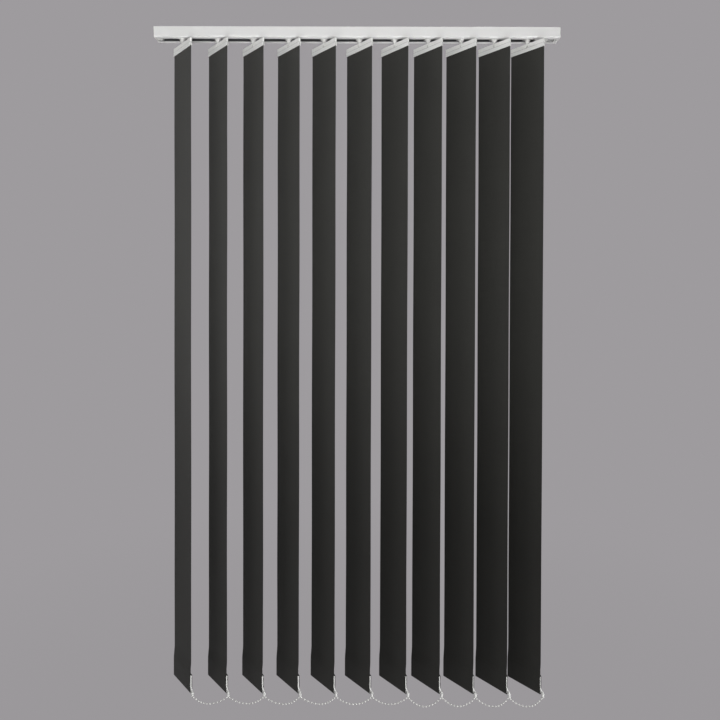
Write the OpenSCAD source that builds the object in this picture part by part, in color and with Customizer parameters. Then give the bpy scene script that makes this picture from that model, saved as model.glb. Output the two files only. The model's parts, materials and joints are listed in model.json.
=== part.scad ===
// Vertical blind: a ceiling-fixed headrail with eleven tilting fabric vanes that draw along it.
// Millimetres. +X runs along the rail, -Y faces the room, +Z is up, and the ceiling is at z = 0.

/* [Headrail] */
// Length of the rail between its end caps
rail_length = 903; // [700:1:980]
// Depth of the rail from front to back
rail_depth = 38; // [38:0.5:46]
// Height of the rail
rail_height = 23; // [23:0.5:30]
// Thickness of the front and back walls
rail_wall = 1.3; // [1:0.1:1.6]
// Radius of the two lower outer corners
corner_radius = 3; // [2.2:0.1:3.4]
// Thickness of the two flanges beside the slot
flange_thickness = 1.2; // [1:0.1:1.6]
// Width of the slot in the underside
slot_width = 16.5; // [15:0.5:20]
// Height of the guide rib along each edge of the slot
rib_height = 0.8; // [0.6:0.1:1.2]
// Thickness of that rib
rib_thickness = 1; // [0.8:0.1:1.5]
// Thickness of the lips that the ceiling brackets hold
channel_lip = 1.3; // [1:0.1:1.6]
// Width of the opening between those lips
channel_opening = 14; // [12:0.5:16]
// Width of the bracket channel under the lips
channel_width = 22; // [19:0.5:26]
// Height of the bracket channel
channel_height = 3; // [2.5:0.1:4]
// Thickness of the web between the channel and the track
web_thickness = 1.2; // [1:0.1:1.6]

/* [Ceiling brackets] */
// Distance of a bracket from its end of the rail
bracket_inset = 151.5; // [60:0.5:250]
// Thickness of the plate against the ceiling
bracket_plate = 2; // [1.5:0.1:3]
// Length of a bracket along the rail
bracket_length = 34; // [26:1:50]
// Width of the plate across the rail
bracket_width = 30; // [24:1:36]
// Thickness of the foot inside the channel
foot_thickness = 1.6; // [1.2:0.1:2.2]
// Diameter of the screw hole
screw_hole = 4.5; // [3.5:0.1:5.5]

/* [End caps] */
// Thickness of the plate that closes an end
cap_plate = 2.5; // [2:0.1:4]
// Length of the idle cap inside the rail
idle_plug = 10; // [8:0.5:20]
// Length of the control cap inside the rail
control_plug = 50; // [46:0.5:54]
// Length of its inner part that fills the slot
control_block = 28; // [20:0.5:30]
// Length of its outer part that fills the slot
outlet_block = 7; // [6:0.1:12]
// Depth of the recess between those two parts
control_recess = 3.4; // [2.5:0.1:4]
// Diameter of the two control outlets in the underside
outlet_diameter = 3.4; // [2.4:0.1:4]
// Distance between the two outlets
outlet_spacing = 8; // [6:0.5:10]
// Distance of the outlets from the end plate
outlet_inset = 3.4; // [2.6:0.1:5]

/* [Tilt rod] */
// Outside diameter over the splines
rod_diameter = 6.4; // [5:0.1:6.8]
// Diameter of the core
rod_core = 4.8; // [3.8:0.1:4.9]
// Width of a spline
spline_width = 1.4; // [1:0.1:2]
// Number of splines
spline_count = 3; // [2:1:6]
// Distance of the rod behind the hooks
rod_offset = 9.6; // [9.6:0.1:10.4]

/* [Carriers] */
// Length of a carrier along the rail
carrier_length = 17; // [15:0.5:20]
// Wall of the carrier outside the rod
carrier_wall = 1; // [0.8:0.1:1.4]
// Room above the carriers for the spacer strips
strip_room = 4.2; // [4:0.1:4.6]
// Diameter of a roller
roller_diameter = 7.2; // [6:0.1:8]
// Width of a roller
roller_width = 2.8; // [2:0.1:3]
// Distance between the two rollers of one side
roller_spacing = 8.8; // [8.4:0.1:9.4]
// Width of a spacer strip
strip_width = 5; // [3:0.5:8]
// Thickness of a spacer strip
strip_thickness = 0.4; // [0.3:0.05:0.45]
// Slope of a spacer strip in degrees, so that stacked strips lie over each other
strip_slope = 1.7; // [1.6:0.05:1.9]
// Length of strip past the centre of the next carrier
strip_overrun = 6; // [3:0.5:8]
// Height of the strip's turned-up end
strip_upturn = 0.8; // [0.4:0.1:1]

/* [Hooks] */
// Diameter of the toothed wheel in the carrier
wheel_diameter = 10.4; // [9:0.1:10.6]
// Height of the wheel
wheel_height = 4.6; // [3:0.1:4.8]
// Number of teeth
wheel_teeth = 14; // [10:1:20]
// Depth of a tooth
tooth_depth = 0.9; // [0.5:0.1:1.2]
// Diameter of the journal under the wheel
journal_diameter = 7; // [5:0.1:7.4]
// Diameter of the hook's flare at its top
flare_diameter = 14; // [9:0.1:14.4]
// Diameter of the hook's neck
neck_diameter = 5; // [4:0.1:6.4]
// Height of the neck between the flare and the hanger
neck_height = 1.6; // [1.2:0.1:4]
// Width of the tongue inside the hanger
tongue_width = 6; // [4:0.1:8]
// Thickness of the tongue
tongue_thickness = 1.8; // [1.2:0.1:2]
// Diameter of the catch that the hanger hangs on
catch_diameter = 4.4; // [3:0.1:5]
// Depth of the catch's ends inside the hanger
catch_recess = 1; // [0.4:0.1:1.2]
// Diameter of the hole through the catch
catch_bore = 2.8; // [2:0.1:3]

/* [Vanes] */
// Number of vanes
vane_count = 11; // [11]
// Width of a vane
vane_width = 89; // [80:1:127]
// Distance from the rail's top to the foot of the vanes
drop_length = 1489; // [900:1:2400]
// Thickness of the fabric
fabric_thickness = 0.6; // [0.4:0.05:0.8]
// Angle of the vanes from the line of the rail at rest
vane_angle = 50; // [20:0.5:90]
// Distance of the first carrier from the rail's idle end
lead_margin = 56.5; // [45:0.5:60]
// Distance of the last carrier from the rail's control end
tail_margin = 66.5; // [66:0.5:90]
// Number of gaps at the control end that are not quite drawn out
slack_gaps = 4; // [0:1:8]
// Share of the full gap that those keep
slack_share = 0.9375; // [0.8:0.0125:1]

/* [Hangers] */
// Distance between the rail and the hangers
hanger_drop = 8; // [7:0.1:20]
// Height of a hanger
hanger_height = 16.7; // [14:0.1:22]
// Thickness of a hanger's upper bar
bar_thickness = 4; // [3.4:0.1:4.2]
// Thickness over a hanger's two jaws
jaw_thickness = 4.8; // [4.2:0.1:5]
// Height of the jaws
jaw_height = 7.6; // [6:0.1:8]
// Height of the bevel over the jaws
bevel_height = 0.8; // [0.4:0.1:1.2]
// Distance of the catch's centre below a hanger's top
catch_depth = 5.6; // [4.8:0.1:6]
// Width of the raised ring round the catch
boss_width = 1.6; // [1:0.1:2]

/* [Bottom weights] */
// Height of the pocket sewn at the foot of a vane
pocket_height = 41; // [34:0.5:60]
// Thickness over the pocket
pocket_thickness = 5; // [4.4:0.1:5.2]
// Height of a weight
weight_height = 38; // [28:0.5:39]
// Distance of a weight's far end from the vane's far edge
weight_inset = 2; // [0:0.5:6]
// Distance of its near end from the vane's near edge
near_inset = 1; // [0:0.1:3]
// Distance of the chain peg from the vane's near edge
peg_reach = 6; // [5.6:0.1:8]
// Height of the arm that carries the peg
arm_height = 3; // [2.4:0.1:3.4]
// Thickness of that arm
arm_thickness = 2.8; // [2:0.1:3.2]
// Diameter of the peg
peg_diameter = 3; // [2.4:0.1:3.2]
// Diameter of the knob under the peg
knob_diameter = 4.8; // [4.4:0.1:5.6]
// Distance of the peg's arm above the foot of the vane
arm_rise = 5; // [1:0.1:7]

/* [Bottom chain] */
// Length of chain from one clip to the next, as a multiple of the full gap
chain_share = 1.25; // [1.15:0.01:1.4]
// Distance between the beads along the chain
bead_pitch = 7.7; // [5:0.1:10]
// Diameter of a bead
bead_diameter = 3.8; // [2.4:0.1:4.4]
// Diameter of the thread between the beads
thread_diameter = 0.8; // [0.6:0.1:1.2]
// Outside diameter of a clip ring
ring_diameter = 6.2; // [5.8:0.1:7.4]
// Height of a clip ring
ring_height = 3; // [2:0.1:4]

/* [Clearances] */
// Gap between pieces that run on each other
running_gap = 0.3; // [0.2:0.05:0.4]
// Gap between a roller and its flange
rolling_gap = 0.15; // [0.1:0.05:0.3]
// Gap between pieces that are pushed together
fitting_gap = 0.25; // [0.1:0.05:0.3]
// Gap between the carriers and the ribs of the slot
slot_gap = 0.5; // [0.3:0.1:0.8]

/* [Hidden] */
$fn = 48;
overcut = 1;
number_names = ["01", "02", "03", "04", "05", "06", "07", "08", "09", "10", "11"];

// Lengths along the rail
bracket_spacing = rail_length - 2 * bracket_inset;
drawn_gap = (rail_length - lead_margin - tail_margin) / (vane_count - 1 - slack_gaps * (1 - slack_share));
slack_gap = slack_share * drawn_gap;
chain_length = chain_share * drawn_gap;

// Heights of the rail, from its top down to the underside
rail_top = -bracket_plate;
rail_bottom = rail_top - rail_height;
flange_top = rail_bottom + flange_thickness;
channel_bottom = rail_top - channel_lip - channel_height;
web_bottom = channel_bottom - web_thickness;

// The carrier fills the track between the strips above it and the ribs below it
carrier_top = web_bottom - strip_room;
carrier_bottom = flange_top + rib_height + slot_gap;
rod_bore = rod_diameter + 2 * running_gap;
rod_z = carrier_top - carrier_wall - rod_bore / 2 - running_gap;
carrier_width = 2 * (rod_offset + rod_bore / 2 + carrier_wall);
carrier_round = 1.6;
roller_z = flange_top + rolling_gap + roller_diameter / 2;
axle_diameter = 2.4;
strip_sink = 0.2;
strip_reach = drawn_gap + strip_overrun;

// The hook's wheel turns in a closed chamber just over the carrier's floor
floor_thickness = 2.1;
chamber_bottom = carrier_bottom + floor_thickness;
chamber_height = wheel_height + 2 * running_gap;
flare_top = carrier_bottom - running_gap;

// Heights of the vane's pieces
hanger_top = rail_bottom - hanger_drop;
hanger_bottom = hanger_top - hanger_height;
catch_z = hanger_top - catch_depth;
jaw_top = hanger_bottom + jaw_height;
fabric_top = jaw_top - fitting_gap - bevel_height / 2;
vane_bottom = rail_top - drop_length;
pocket_top = vane_bottom + pocket_height;
weight_thickness = pocket_thickness - 2 * fabric_thickness - 2 * fitting_gap;
weight_bottom = vane_bottom + fabric_thickness + fitting_gap;

// The chain peg stands beside the near lower corner of the vane, on an arm that curves out of the weight
peg_x = vane_width / 2 + peg_reach;
arm_bottom = vane_bottom + arm_rise;
ring_top = arm_bottom - running_gap;
ring_bottom = ring_top - ring_height;
knob_z = ring_bottom - running_gap - knob_diameter / 2;
chain_z = (ring_top + ring_bottom) / 2;
thread_sink = 0.9;
thread_trim = 0.3;

// Place of carrier k along the rail, counted from 1 at the idle end
function carrier_x(k) =
    -rail_length / 2 + lead_margin + (k - 1) * drawn_gap
    - max(0, k - (vane_count - slack_gaps)) * (drawn_gap - slack_gap);

// A hanging thread of a given span and length, as the parameter of its catenary
function sinh(v) = (exp(v) - exp(-v)) / 2;
function asinh(v) = ln(v + sqrt(v * v + 1));
function catenary_size(span, len, low, high, steps = 40) =
    let (mid = (low + high) / 2)
    steps == 0 ? mid
    : 2 * mid * sinh(span / (2 * mid)) > len ? catenary_size(span, len, mid, high, steps - 1)
    : catenary_size(span, len, low, mid, steps - 1);

// Point of that thread at arc length s from its lowest point, below its two level ends
function thread_point(a, len, s) =
    [a * asinh(s / a), 0, sqrt(a * a + s * s) - sqrt(a * a + len * len / 4)];

// Extrudes a profile drawn in Y and Z along X, centred
module along_x(length) {
    rotate([90, 0, 90]) linear_extrude(length, center = true) children();
}

// Rectangle between two corners
module box_2d(low, high) {
    translate(low) square(high - low);
}

// Rectangle between two corners, with round corners
module round_box_2d(low, high, r) {
    box_2d(low + [r, 0], high - [r, 0]);
    box_2d(low + [0, r], high - [0, r]);
    for (x = [low.x + r, high.x - r], y = [low.y + r, high.y - r])
        translate([x, y]) circle(r);
}

// Turns a child from Z to the direction of a line
module facing(run) {
    rotate([0, acos(run.z / norm(run)), atan2(run.y, run.x)]) children();
}

// Moves a child from the vane's own axes, with X towards its near edge, to vane k
module at_vane(k) {
    translate([carrier_x(k), 0, 0]) rotate([0, 0, -vane_angle]) children();
}

// Outline of the rail's section, without its hollows
module rail_outline() {
    half = rail_depth / 2;
    round_box_2d([-half, rail_bottom], [half, rail_top], corner_radius);
    box_2d([-half, rail_bottom + corner_radius], [half, rail_top]);
}

// Track space inside the rail, less a gap on every side
module track_space(gap) {
    half = rail_depth / 2 - rail_wall - gap;
    box_2d([-half, flange_top + gap], [half, web_bottom - gap]);
}

module headrail() {
    color("white") along_x(rail_length) difference() {
        rail_outline();
        difference() {
            track_space(0);
            for (y = [-slot_width / 2 - rib_thickness, slot_width / 2])
                box_2d([y, flange_top - overcut], [y + rib_thickness, flange_top + rib_height]);
        }
        box_2d([-slot_width / 2, rail_bottom - overcut], [slot_width / 2, flange_top + overcut]);
        box_2d([-channel_width / 2, channel_bottom], [channel_width / 2, rail_top - channel_lip]);
        box_2d([-channel_opening / 2, channel_bottom], [channel_opening / 2, rail_top + overcut]);
    }
}

// End plate with a plug in the track, a bearing for the rod and, at the control end, fillers in the slot
module end_cap(plug, is_control) {
    fill_half = slot_width / 2 - fitting_gap;
    rib_half = slot_width / 2 + rib_thickness + fitting_gap;
    recess_length = plug - control_block - outlet_block;
    outlet_depth = 6;
    difference() {
        union() {
            translate([cap_plate / 2, 0, 0]) along_x(cap_plate) rail_outline();
            translate([-plug / 2, 0, 0]) along_x(plug) {
                difference() {
                    track_space(fitting_gap);
                    box_2d([-rib_half, rail_bottom], [rib_half, flange_top + rib_height + fitting_gap]);
                }
                if (is_control)
                    box_2d([-fill_half, rail_bottom], [fill_half, flange_top + rib_height + overcut]);
            }
        }
        translate([-plug - overcut, rod_offset, rod_z]) rotate([0, 90, 0])
            cylinder(h = plug + overcut, d = rod_bore);
        if (is_control) {
            translate([-outlet_block - recess_length / 2, 0, 0]) along_x(recess_length)
                box_2d(
                    [-fill_half - overcut, rail_bottom - overcut],
                    [fill_half + overcut, rail_bottom + control_recess]
                );
            for (side = [-1, 1])
                translate([-outlet_inset, side * outlet_spacing / 2, rail_bottom - overcut])
                    cylinder(h = outlet_depth + overcut, d = outlet_diameter, $fn = 24);
        }
    }
}

module end_caps() {
    color("whitesmoke") {
        translate([rail_length / 2, 0, 0]) end_cap(control_plug, true);
        mirror([1, 0, 0]) translate([rail_length / 2, 0, 0]) end_cap(idle_plug, false);
    }
}

module top_brackets() {
    neck_half = channel_opening / 2 - fitting_gap;
    foot_half = channel_width / 2 - 4 * fitting_gap;
    foot_top = rail_top - channel_lip;
    foot_bottom = foot_top - foot_thickness;
    color("silver")
        for (side = [-1, 1]) translate([side * bracket_spacing / 2, 0, 0])
            difference() {
                along_x(bracket_length) {
                    box_2d([-bracket_width / 2, rail_top], [bracket_width / 2, 0]);
                    box_2d([-neck_half, foot_top - foot_thickness / 2], [neck_half, rail_top / 2]);
                    box_2d([-foot_half, foot_bottom], [foot_half, foot_top]);
                }
                translate([0, 0, foot_bottom - overcut])
                    cylinder(h = 2 * overcut - foot_bottom, d = screw_hole);
            }
}

module tilt_rod() {
    color("gainsboro")
        translate([0, rod_offset, rod_z])
            along_x(rail_length - 2 * running_gap) {
                circle(d = rod_core);
                for (i = [0 : spline_count - 1]) rotate(i * 360 / spline_count)
                    box_2d([0, -spline_width / 2], [rod_diameter / 2 - 0.02, spline_width / 2]);
            }
}

// Sloping strip that reaches over the neighbour towards the idle end
module spacer_strip() {
    translate([0, -strip_width / 2, carrier_top - strip_sink]) rotate([0, strip_slope, 0])
        translate([-strip_reach, 0, 0]) {
            cube([strip_reach + carrier_length / 4, strip_width, strip_thickness]);
            cube([strip_thickness, strip_width, strip_thickness + strip_upturn]);
        }
}

module roller(side, x) {
    inner = carrier_width / 2 + running_gap;
    translate([x, 0, roller_z]) rotate([side * 90, 0, 0]) {
        translate([0, 0, inner]) cylinder(h = roller_width, d = roller_diameter);
        translate([0, 0, inner - overcut]) cylinder(h = overcut + roller_width / 2, d = axle_diameter);
    }
}

// Carrier at the rail's centre: housing, four rollers and a strip if another carrier follows it
module carrier(has_strip) {
    half = carrier_width / 2;
    color("whitesmoke") difference() {
        union() {
            along_x(carrier_length)
                round_box_2d([-half, carrier_bottom], [half, carrier_top], carrier_round);
            for (side = [-1, 1], x = [-roller_spacing / 2, roller_spacing / 2]) roller(side, x);
            if (has_strip) spacer_strip();
        }
        translate([0, rod_offset, rod_z]) rotate([0, 90, 0])
            cylinder(h = carrier_length + 2 * overcut, d = rod_bore, center = true);
        translate([0, 0, chamber_bottom])
            cylinder(h = chamber_height, d = wheel_diameter + 2 * running_gap);
        translate([0, 0, carrier_bottom - overcut])
            cylinder(h = floor_thickness + 2 * overcut, d = journal_diameter + 2 * running_gap);
    }
}

// Outline of the toothed wheel
module wheel_outline() {
    tip = wheel_diameter / 2;
    step = 360 / wheel_teeth;
    edges = [[0, tip - tooth_depth], [0.3, tip - tooth_depth], [0.42, tip], [0.88, tip]];
    polygon([for (i = [0 : wheel_teeth - 1], e = edges)
        e[1] * [cos((i + e[0]) * step), sin((i + e[0]) * step)]]);
}

// Hook on its own axis: wheel, journal, flare, neck, tongue and a catch with a hole through it
module hook() {
    neck_top = hanger_top + neck_height;
    tongue_bottom = catch_z - catch_diameter / 2;
    color("white") difference() {
        union() {
            translate([0, 0, chamber_bottom + running_gap]) linear_extrude(wheel_height) wheel_outline();
            translate([0, 0, flare_top - overcut])
                cylinder(h = chamber_bottom + running_gap - flare_top + 2 * overcut, d = journal_diameter);
            translate([0, 0, neck_top])
                cylinder(h = flare_top - neck_top, d1 = neck_diameter, d2 = flare_diameter);
            translate([0, 0, hanger_top + running_gap])
                cylinder(h = neck_height, d = neck_diameter);
            translate([-tongue_width / 2, -tongue_thickness / 2, tongue_bottom])
                cube([tongue_width, tongue_thickness, hanger_top + overcut - tongue_bottom]);
            translate([0, 0, catch_z]) rotate([90, 0, 0])
                cylinder(h = bar_thickness - 2 * catch_recess, d = catch_diameter, center = true, $fn = 32);
        }
        translate([0, 0, catch_z]) rotate([90, 0, 0])
            cylinder(h = bar_thickness, d = catch_bore, center = true, $fn = 24);
    }
}

// Hanger in the vane's axes: a bar with a pocket for the tongue, over two jaws that grip the fabric
module hanger() {
    bar = bar_thickness / 2;
    jaw = jaw_thickness / 2;
    bevel_top = jaw_top + bevel_height;
    grip = fabric_thickness / 2 + fitting_gap;
    tongue_space = [tongue_width + 2 * running_gap, tongue_thickness + 2 * running_gap];
    eye_diameter = catch_diameter + 2 * running_gap;
    color("white") difference() {
        union() {
            translate([0, 0, catch_z]) rotate([90, 0, 0])
                cylinder(h = jaw_thickness, d = eye_diameter + 2 * boss_width, center = true, $fn = 32);
            along_x(vane_width) difference() {
                polygon([
                    [-bar, hanger_top], [-bar, bevel_top], [-jaw, jaw_top], [-jaw, hanger_bottom],
                    [jaw, hanger_bottom], [jaw, jaw_top], [bar, bevel_top], [bar, hanger_top]
                ]);
                box_2d([-grip, hanger_bottom - overcut], [grip, fabric_top + fitting_gap]);
            }
        }
        translate([0, 0, catch_z - catch_diameter / 2 - running_gap])
            linear_extrude(hanger_top - catch_z + catch_diameter / 2 + running_gap + overcut)
                square(tongue_space, center = true);
        translate([0, 0, catch_z]) rotate([90, 0, 0])
            cylinder(h = jaw_thickness + overcut, d = eye_diameter, center = true, $fn = 32);
    }
}

// Fabric in the vane's axes: one sheet that is folded into a pocket at its foot
module vane() {
    sheet = fabric_thickness / 2;
    outer = pocket_thickness / 2;
    inner = outer - fabric_thickness;
    color("dimgray") along_x(vane_width) {
        box_2d([-sheet, pocket_top - fabric_thickness / 2], [sheet, fabric_top]);
        difference() {
            round_box_2d([-outer, vane_bottom], [outer, pocket_top], outer - 0.01);
            round_box_2d(
                [-inner, vane_bottom + fabric_thickness],
                [inner, pocket_top - fabric_thickness],
                inner - 0.01
            );
        }
    }
}

// Weight in the vane's axes, with the arm, peg and knob that carry the chain
module weight() {
    half = weight_thickness / 2;
    near = vane_width / 2 - near_inset;
    far = -vane_width / 2 + weight_inset;
    bend = peg_x - near + arm_height / 2;
    color("white") {
        translate([(near + far) / 2, 0, 0]) along_x(near - far)
            round_box_2d([-half, weight_bottom], [half, weight_bottom + weight_height], half - 0.01);
        translate([peg_x, arm_thickness / 2, arm_bottom + bend]) rotate([90, 0, 0])
            linear_extrude(arm_thickness) difference() {
                circle(bend);
                circle(bend - arm_height);
                box_2d([-2 * bend, 0], [2 * bend, 2 * bend]);
                box_2d([0, -2 * bend], [2 * bend, 2 * bend]);
            }
        translate([peg_x, 0, knob_z])
            cylinder(h = arm_bottom + arm_height - knob_z, d = peg_diameter, $fn = 32);
        translate([peg_x, 0, knob_z]) sphere(d = knob_diameter, $fn = 32);
    }
}

// Thread between two stops of the chain, a little short of both
module thread_piece(from, to) {
    run = to - from;
    translate(from + run * thread_trim / norm(run)) facing(run)
        cylinder(h = norm(run) - 2 * thread_trim, d = thread_diameter, $fn = 16);
}

// Barrel-shaped bead on the Z axis
module bead() {
    r = bead_diameter / 2;
    half = [[0, 0.85], [0.56, 0.85], [0.87, 0.55], [1, 0.2]];
    rotate_extrude($fn = 24)
        polygon(r * concat(half, [for (i = [3 : -1 : 0]) [half[i].x, -half[i].y]]));
}

// One length of bead chain between two clip rings
module chain_span(span) {
    hang = span - ring_diameter + 2 * thread_sink;
    len = chain_length - ring_diameter;
    a = catenary_size(hang, len, hang / 20, 20 * hang);
    beads = floor(len / bead_pitch);
    ends = (len - (beads - 1) * bead_pitch) / 2;
    stops = concat([-len / 2], [for (i = [0 : beads - 1]) -len / 2 + ends + i * bead_pitch], [len / 2]);
    points = [for (s = stops) thread_point(a, len, s)];
    for (i = [1 : beads]) translate(points[i]) facing(points[i + 1] - points[i - 1]) bead();
    for (i = [0 : beads]) thread_piece(points[i], points[i + 1]);
}

module bottom_chain() {
    ring_bore = peg_diameter + 2 * running_gap;
    peg = [peg_x * cos(vane_angle), -peg_x * sin(vane_angle), chain_z];
    color("white") {
        for (k = [1 : vane_count]) translate(peg + [carrier_x(k), 0, 0]) difference() {
            cylinder(h = ring_height, d = ring_diameter, center = true, $fn = 32);
            cylinder(h = ring_height + overcut, d = ring_bore, center = true, $fn = 32);
        }
        for (k = [1 : vane_count - 1])
            translate(peg + [(carrier_x(k) + carrier_x(k + 1)) / 2, 0, 0])
                chain_span(carrier_x(k + 1) - carrier_x(k));
    }
}

headrail();
end_caps();
top_brackets();
tilt_rod();
bottom_chain();
for (k = [1 : vane_count]) {
    n = number_names[k - 1];
    translate([carrier_x(k), 0, 0]) carrier(k > 1);
    at_vane(k) hook();
    at_vane(k) hanger();
    at_vane(k) vane();
    at_vane(k) weight();
}
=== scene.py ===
"""Vertical blind: fabric vanes, bead chain, finishes and a plain studio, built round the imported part."""

import json
import math

import bpy
import numpy as np
from bpy.props import FloatProperty, FloatVectorProperty, PointerProperty
from bpy.types import Operator, Panel, PropertyGroup
from mathutils import Matrix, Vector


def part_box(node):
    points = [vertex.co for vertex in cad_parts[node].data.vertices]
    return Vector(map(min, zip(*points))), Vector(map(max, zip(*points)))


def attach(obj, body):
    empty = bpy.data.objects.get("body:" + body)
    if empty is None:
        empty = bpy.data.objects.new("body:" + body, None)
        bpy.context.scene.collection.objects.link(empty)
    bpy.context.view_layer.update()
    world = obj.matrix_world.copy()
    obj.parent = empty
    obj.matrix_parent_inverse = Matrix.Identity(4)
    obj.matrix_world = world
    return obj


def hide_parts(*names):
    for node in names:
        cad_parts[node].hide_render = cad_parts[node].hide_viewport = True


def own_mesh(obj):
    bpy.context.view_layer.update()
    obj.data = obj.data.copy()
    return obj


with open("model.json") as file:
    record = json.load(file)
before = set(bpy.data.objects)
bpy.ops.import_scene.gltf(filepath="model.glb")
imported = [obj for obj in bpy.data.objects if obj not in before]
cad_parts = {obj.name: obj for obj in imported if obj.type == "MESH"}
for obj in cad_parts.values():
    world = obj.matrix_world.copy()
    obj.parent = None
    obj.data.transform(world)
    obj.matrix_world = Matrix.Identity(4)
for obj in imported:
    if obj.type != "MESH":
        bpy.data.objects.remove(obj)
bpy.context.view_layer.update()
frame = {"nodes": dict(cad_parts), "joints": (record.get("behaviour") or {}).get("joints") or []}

bl_info = {
    "name": "Vertical blind",
    "version": (1, 0, 0),
    "blender": (4, 5, 0),
    "location": "3D View > Sidebar > Blind",
    "description": "Dresses a vertical blind with cloth vanes, a bead chain, finishes and a studio",
    "category": "Object",
}

NUMBERS = [f"{i:02d}" for i in range(1, 12)]
JOINTS = {joint["name"]: joint for joint in frame["joints"]}
PIVOTS = {joint["child"]: joint["pos_m"] for joint in frame["joints"] if "pos_m" in joint}
RAIL_LOW, RAIL_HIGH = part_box("headrail")
VANE_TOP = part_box("vane_01")[1].z
VANE_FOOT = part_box("vane_01")[0].z
HANGER_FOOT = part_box("hanger_01")[0].z
CLIP = JOINTS["chain_swivel"]["pos_m"]
PIVOT_X = [PIVOTS[f"vane_{n}"][0] for n in NUMBERS]
CLIP_X = [CLIP[0] + x - PIVOT_X[-1] for x in PIVOT_X]

# Points along and across the cloth, and the distance of its layers at the hem as a share of its thickness
STRAIGHT_ROWS = 70
POCKET_ROWS = 96
FINE_STEPS = 300
CLOTH_COLUMNS = 15
CLOTH_LAP = 1.08
# Distance on the roll between the cuts of neighbouring vanes
WOVEN_STEP = 1.6
# Spread of the curl's depth as a share of it, and fewest and most waves along an edge in radians per metre
CUP_SPREAD = 0.25
EDGE_WAVES = (9.0, 13.0)
# Place of the stitches as a share of the hem's height, and the angle that the rings of one stitch reach
STITCH_LINE = 0.72
STITCH_REACH = 1.4
# Rings of the thread in one length of chain
THREAD_ROWS = 49
# Powers of a bead's profile, the angle that its rings reach, and its length as a share of its diameter
BEAD_POWERS = (2.6, 2.2)
BEAD_REACH = 1.33
BEAD_LENGTH = 0.9
# Rounding of a clip's edges
CLIP_EDGE = 0.0004
# First seeds of the random draws for the vanes and for the lengths of chain
VANE_SEED = 400
CHAIN_SEED = 700
# Angles between faces at which the shading breaks
CLOTH_BREAK = math.radians(50)
CLIP_BREAK = math.radians(35)
# Pitch of the weave, noise scales across and along a thread, and the sealed strip's reach from the cut edge
WEAVE_PITCH = 0.00075
SLUB_SCALES = (900.0, 22.0)
SEALED_STRIP = (0.0011, 0.0004)
# Slope and level of the cloth's tone by its yarn, its weave, slow clouds and the sealed strip
YARN_TONE = (0.55, 0.50)
# Tone by the weave's height: painted shade in the hollows between threads and painted light on their crowns
WEAVE_SHADING = (0.45, 0.72)
CLOUD_TONE = (0.3, 0.98)
SEALED_TONE = (-0.35, 1.0)
# Slope and level of the cloth's roughness by its yarn, and slope by the sealed strip
YARN_ROUGHNESS = (-0.2, 0.86)
SEALED_ROUGHNESS = -0.2
# Slope and level of the sewing thread's tone by its twist, which paints shade into its grooves, and slope of
# a skin's roughness by its drift
TWIST_SHADING = (0.5, 0.7)
DRIFT_ROUGHNESS = 0.08
# Dust: its colour, the upward part of a normal at which it begins and is full, the noise that breaks it, and
# slope of the roughness
DUST_COLOUR = (0.40, 0.38, 0.34, 1)
DUST_FACING = (0.55, 0.95)
DUST_BREAKS = (0.38, 0.68)
DUST_ROUGHNESS = 0.45
# Skin that the larger moulded parts share
MOULDED = {"roughness": 0.42, "grain": 2200.0, "grain_depth": 0.00003}
# Half of the floor's side, and the distances between which it takes on its full brightness
FLOOR_REACH = 14.0
FLOOR_FADE = (0.6, 2.6)
# Sides, place, target and spread in degrees of each lamp; its power is the stage setting of the same name
LAMPS = {
    "front": ((2.0, 0.9), (0, -1.6, -0.35), (0, 0, -0.35), 180),
    "left": ((1.2, 1.6), (-1.7, -1.0, -0.3), (0, 0, -0.4), 180),
    "right": ((0.9, 2.4), (1.8, -1.3, -0.8), (0, 0, -0.8), 180),
    "foot": ((0.9, 0.9), (2.4, -1.9, -1.35), (0, 0, -1.45), 50),
    "low": ((1.6, 0.5), (0, -1.0, -1.45), (0, 0, -0.03), 60),
    "back": ((1.8, 1.2), (0.6, 1.7, 0.35), (0, 0, -0.5), 180),
    "top": ((1.6, 0.6), (0, 0.01, 1.2), (0, 0, 0), 180),
}


class VaneSettings(PropertyGroup):
    """Sizes and colour of the cloth vanes."""

    width: FloatProperty(
        name="Width", description="Width of a vane", default=0.089, unit="LENGTH")
    angle: FloatProperty(
        name="Angle", description="Angle from the line of the rail at rest",
        default=math.radians(50), subtype="ANGLE")
    thickness: FloatProperty(
        name="Thickness", description="Thickness of the cloth", default=0.0006, unit="LENGTH")
    pocket: FloatProperty(
        name="Pocket", description="Height of the pocket at the foot", default=0.041, unit="LENGTH")
    pocket_depth: FloatProperty(
        name="Pocket depth", description="Thickness over the pocket", default=0.005, unit="LENGTH")
    hem: FloatProperty(
        name="Hem", description="Height of the sewn hem over the pocket", default=0.011, unit="LENGTH")
    swing: FloatProperty(
        name="Swing", description="Height over which the cloth swings out to the pocket's front",
        default=0.032, unit="LENGTH")
    cup: FloatProperty(
        name="Cup", description="Depth of the cloth's curl across a vane", default=0.0012, unit="LENGTH")
    twist: FloatProperty(
        name="Twist", description="Largest turn of the cloth between its ends",
        default=math.radians(0.45), subtype="ANGLE")
    ripple: FloatProperty(
        name="Ripple", description="Height of the waves along the cut edges", default=0.00025,
        unit="LENGTH")
    fade: FloatProperty(
        name="Fade", description="Height over which the curl dies out at both ends", default=0.22,
        unit="LENGTH")
    cloth: FloatVectorProperty(
        name="Cloth", description="Colour of the cloth", default=(0.0305, 0.0305, 0.0262), subtype="COLOR")
    thread: FloatVectorProperty(
        name="Thread", description="Colour of the sewing thread", default=(0.030, 0.030, 0.027),
        subtype="COLOR")
    stitch: FloatProperty(
        name="Stitch", description="Length of one stitch", default=0.0026, unit="LENGTH")
    stitch_width: FloatProperty(
        name="Stitch width", description="Width of one stitch", default=0.0006, unit="LENGTH")
    stitch_gap: FloatProperty(
        name="Stitch gap", description="Gap between two stitches", default=0.0006, unit="LENGTH")


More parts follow.
